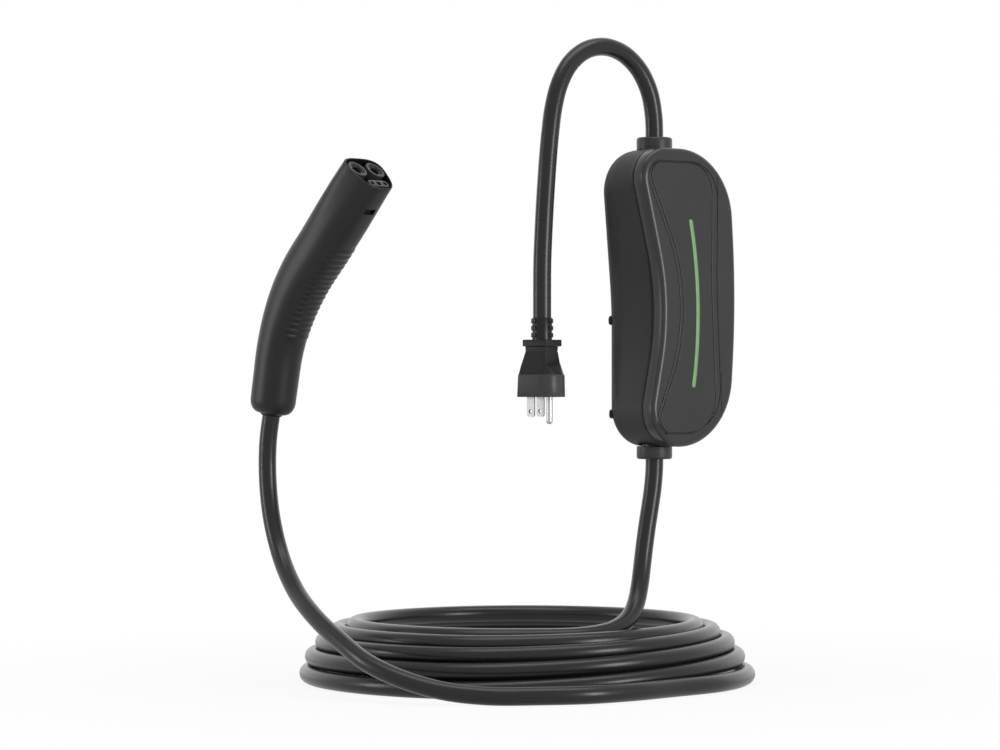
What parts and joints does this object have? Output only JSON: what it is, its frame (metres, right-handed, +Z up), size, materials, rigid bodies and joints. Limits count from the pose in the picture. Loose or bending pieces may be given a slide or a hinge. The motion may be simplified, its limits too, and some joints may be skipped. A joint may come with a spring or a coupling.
{
  "type": "portable ev charger",
  "caption": "Portable electric-car charger: waisted control box with a light strip, short mains lead and plug, and a coiled charge cable with a bent pistol handle.",
  "frame": {"origin": "middle of the cable coil on the floor", "axes": "+Z up; -Y towards the front of the control box; +X to the box's right, seen from the front"},
  "size_m": [0.379, 0.3597, 0.4867],
  "materials": {
    "housing": "fine matt black plastic",
    "cover": "satin dark grey plastic",
    "handle": "satin black plastic",
    "gland": "matt dark grey plastic",
    "rubber": "black rubber",
    "light": "green light guide",
    "board": "green circuit board",
    "device": "black and dark blue components",
    "terminal": "green terminal blocks",
    "copper": "insulated copper conductors",
    "lamp": "pale lamps",
    "steel": "plated steel",
    "contact": "silver plated contacts",
    "plug": "moulded black plug",
    "blade": "nickel plated brass",
    "cable": "glossy black cable jacket"
  },
  "bodies": {
    "charger": {"rear_housing": "housing", "front_cover": "cover", "cover_seal": "rubber", "panel_frame": "cover", "front_panel": "cover", "light_guide": "light", "top_gland": "gland", "bottom_gland": "gland", "top_locknut": "gland", "bottom_locknut": "gland", "rear_feet": "rubber", "cover_screws": "steel", "main_board": "board", "board_screws": "steel", "relays": "device", "leakage_sensor": "device", "power_supply": "device", "capacitors": "device", "input_terminal": "terminal", "output_terminal": "terminal", "input_conductors": "copper", "output_conductors": "copper", "light_board": "board", "lamps": "lamp", "handle_shell": "handle", "tail_ring": "rubber", "contact_carrier": "handle", "left_power_contact": "contact", "right_power_contact": "contact", "earth_contact": "contact", "pilot_contact": "contact", "proximity_contact": "contact", "carrier_ring": "rubber", "button_switch": "device", "switch_board": "board", "plug_body": "plug", "line_blade": "blade", "neutral_blade": "blade", "earth_pin": "blade", "supply_cord": "cable", "charge_riser": "cable", "charge_coil": "cable", "charge_lead": "cable"},
    "button": {"release_button": "handle"}
  },
  "joints": [
    {"name": "release_press", "type": "slide", "parent": "charger", "child": "button", "axis": [0.129, -0.7319, -0.6691], "range_m": [0, 0.0015], "stiffness_N_per_m": 400, "springref_m": -0.002}
  ]
}
